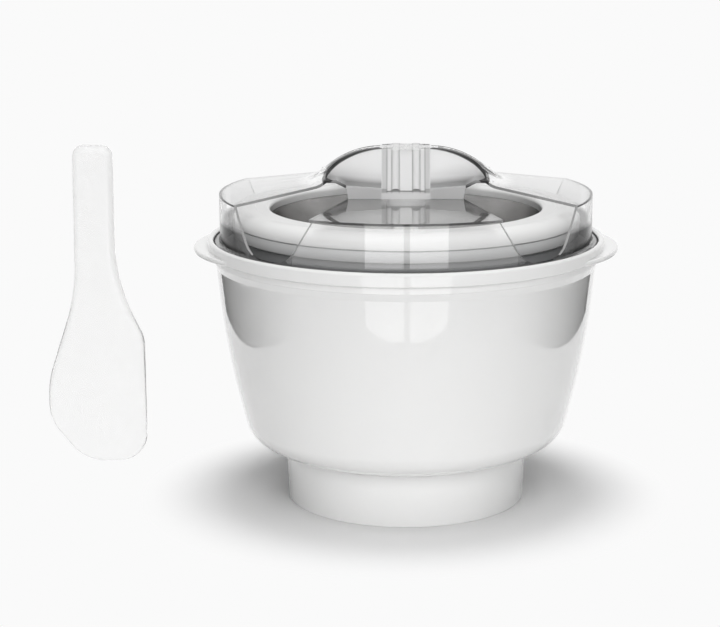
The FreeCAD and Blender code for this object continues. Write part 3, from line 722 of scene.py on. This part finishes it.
def cove_tone(nodes, place):
    """White, with a painted dark line along the arched rim of the coves, standing in for the light caught in
    the sheet there, and painted shade that deepens down to their floor. On the post a light grey, with
    painted dark lines at the edges of its ribs.
    """
    height = nodes.along(place, "Z")
    side = nodes.maths("ABSOLUTE", nodes.along(place, "X"))
    front = nodes.maths("ABSOLUTE", nodes.along(place, "Y"))
    outwards = nodes.maths("MAXIMUM", nodes.reach(place) - dome_bend_reach, 0.0)
    spoke = nodes.add("ShaderNodeCombineXYZ", {}, {0: outwards, 1: height - dome_bend_level})
    buried = dome_bend - nodes.add("ShaderNodeVectorMath", {"operation": "LENGTH"}, {0: spoke}, "Value")
    thick = nodes.ramp(side, rim_from, rim_to, 0.0, rim_thick)
    # Painted: a dark line along the arched rim, and shade that deepens towards the cove floor.
    rim = 1.0 - nodes.ramp(buried - thick, -rim_soft, rim_soft)
    depth = 1.0 - nodes.ramp(height - cove_sweep * side * side, cove_floor, cove_bright)
    cove = nodes.maths("MAXIMUM", rim, cove_dark * depth * depth * depth)
    in_cove = between(nodes, side, post_half, cove_end, cove_soft)
    in_handle = between(nodes, front, far_below, cove_front, cove_soft)
    # Painted dark lines at the post's rib edges, over a light grey on the post.
    rib_lines_and_grey = sum(share * between(nodes, side, low, high, soft) for low, high, soft, share in post_rib_lines_and_grey)
    on_post = between(nodes, height, post_low, post_high, 0.5)
    shade = cove * in_cove * in_handle + rib_lines_and_grey * on_post
    return grey_mix(nodes, shade, light=0.96, dark=0.03), 0.0


def mark_narrow(shape, width, crease, slot):
    """Give the narrow faces along the cut edges of a sheet their own material slot."""
    waiting = set(shape.faces)
    while waiting:
        patch = {waiting.pop()}
        fresh = list(patch)
        while fresh:
            for edge in fresh.pop().edges:
                if edge.is_manifold and edge.calc_face_angle() < crease:
                    found = waiting.intersection(edge.link_faces)
                    waiting -= found
                    patch |= found
                    fresh.extend(found)
        edges = [edge for face in patch for edge in face.edges]
        borders = [edge for edge in edges if len(patch.intersection(edge.link_faces)) == 1]
        span = 2 * sum(face.calc_area() for face in patch) / sum(edge.calc_length() for edge in borders)
        if span < width:
            for face in patch:
                face.material_index = slot


# The edge, cut and flange materials are painted greys: dark edges for light caught in the sheet, painted
# shade on the flange.
lid_materials = (
    clear_plastic("lid_plastic", sheet_tone, gloss=0.0, bend=1.1),
    clear_plastic("lid_edge", plain_tone(grey=0.1), gloss=0.0, bend=1.1),
    clear_plastic("lid_cove", cove_tone, gloss=0.35, bend=1.47, clearness=0.35),
    clear_plastic("lid_cut", plain_tone(grey=0.5), gloss=0.3, bend=1.1, clearness=0.3),
    clear_plastic("lid_flange", plain_tone(grey=0.42, coat=0.6), gloss=0.0, bend=1.1),
)
edge_slot, cove_slot, cut_slot, flange_slot = 1, 2, 3, 4
crease = math.radians(20.0)
cut_width = 1.9 * mm
handle_length, handle_core, handle_front = 47.5, 2.0, 26.0
post_front = 9.0
key_inside, key_outside, key_top = 11.0, 12.0, 190.0
brow_length, brow_front, brow_low = 36.0, 28.5, 184.0
flange_level = 159.5
lid_shape = merged("lid")
mark_narrow(lid_shape, cut_width, crease, cut_slot)
for face in lid_shape.faces:
    middle = face.calc_center_median() / mm
    x, y, z = (abs(part) for part in middle)
    in_handle = x < handle_length and handle_core < y < handle_front and z > arm_top
    beside_post = x > post_half or y > post_front
    on_key = key_inside < middle.xy.length < key_outside and z < key_top
    on_brow = x < brow_length and handle_front < y < brow_front and z > brow_low
    if in_handle and beside_post or on_key or on_brow:
        face.material_index = cove_slot
    elif z < flange_level:
        face.material_index = flange_slot

wall_foot = 162.0
dome_start = 188.0
post_side = 14.5
post_top = 207.0
weights = lid_shape.edges.layers.float.new("bevel_weight_edge")
for edge in lid_shape.edges:
    levels = [vert.co.z / mm for vert in edge.verts]
    on_post = max(abs(vert.co.x) for vert in edge.verts) < post_side * mm and max(levels) < post_top
    if edge.is_manifold and edge.calc_face_angle() > crease:
        edge[weights] = float(min(levels) > wall_foot and (max(levels) < dome_start or on_post))
lid = finish_piece(lid_shape, "lid_clear", lid_materials, "lid", "lid", sharp=20.0)
round_edges(lid, 0.3 * mm, "WEIGHT", edge_slot)


# Spatula. Translucent plastic moulded in one piece, lightly frosted: a thick handle with rounded edges that
# flattens into a thin blade, straight on one side and slanted on the other.
def milky_with_edge_shade(nodes, place):
    """Milky white, with painted shade where the edges turn away from the eye."""
    facing = nodes.add("ShaderNodeLayerWeight", {}, {"Blend": 0.5}, "Facing")
    return grey_mix(nodes, nodes.ramp(facing, 0.02, 0.6), light=0.99, dark=0.88), 0.0


spatula_plastic = clear_plastic("spatula_plastic", milky_with_edge_shade, gloss=0.2, bend=1.47, clearness=0.75)
spatula_low, spatula_high = corners("spatula")
spatula_top = spatula_high.z
blade_left = -31.4
blade_right = 30.2
spatula_corners = [
    (-11.7, spatula_top, 7.0), (13.2, spatula_top, 7.0), (12.8, 116.0, 23.6), (blade_right, 80.6, 4.7),
    (blade_right, 0.0, 18.0), (-9.6, 0.0, 11.5), (blade_left, 27.0, 8.5), (blade_left, 52.2, 9.0),
    (-12.8, 108.7, 16.3),
]
spatula = bmesh.new()
spatula_points = [spatula.verts.new((x * mm, 0.0, z * mm)) for x, z, softness in spatula_corners]
spatula.faces.new(spatula_points)
for point, (x, z, softness) in zip(spatula_points, spatula_corners):
    round_corner(spatula, point, softness, steps=10)

handle_edge = 4.5 * mm
handle_half = 5.5 * mm
edge_steps = 7
quarter = [math.pi / 2 * step / edge_steps for step in range(edge_steps + 1)]
for lower, upper in zip(quarter, quarter[1:]):
    face = max(spatula.faces, key=lambda part: part.calc_area())
    bmesh.ops.inset_region(
        spatula, faces=[face], use_boundary=True, use_even_offset=True,
        thickness=handle_edge * (math.cos(lower) - math.cos(upper)),
        depth=handle_half * (math.sin(upper) - math.sin(lower)),
    )

blade_half = 1.4 * mm
blade_top = 40.0
handle_foot = 130.0
first_cut, last_cut, cut_gap = 2, 200, 3
for level in range(first_cut, last_cut, cut_gap):
    bmesh.ops.bisect_plane(
        spatula, geom=spatula.verts[:] + spatula.edges[:] + spatula.faces[:], dist=0.001 * mm,
        plane_co=(0, 0, level * mm), plane_no=(0, 0, 1),
    )
for vert in spatula.verts:
    rise = min(max((vert.co.z / mm - blade_top) / (handle_foot - blade_top), 0.0), 1.0)
    swell = rise * rise * (3.0 - 2.0 * rise)
    vert.co.y *= (blade_half + (handle_half - blade_half) * swell) / handle_half
bmesh.ops.mirror(
    spatula, geom=spatula.verts[:] + spatula.edges[:] + spatula.faces[:], matrix=Matrix.Identity(4),
    merge_dist=0.001 * mm, axis="Y",
)
spatula_place = Vector((spatula_low.x - blade_left, (spatula_low.y + spatula_high.y) / 2, 0.0))
bmesh.ops.translate(spatula, verts=spatula.verts, vec=spatula_place * mm)
spatula_piece = finish_piece(
    spatula, "spatula_moulding", (spatula_plastic,), "spatula", "spatula", sharp=50.0
)
spatula_piece.visible_glossy = False
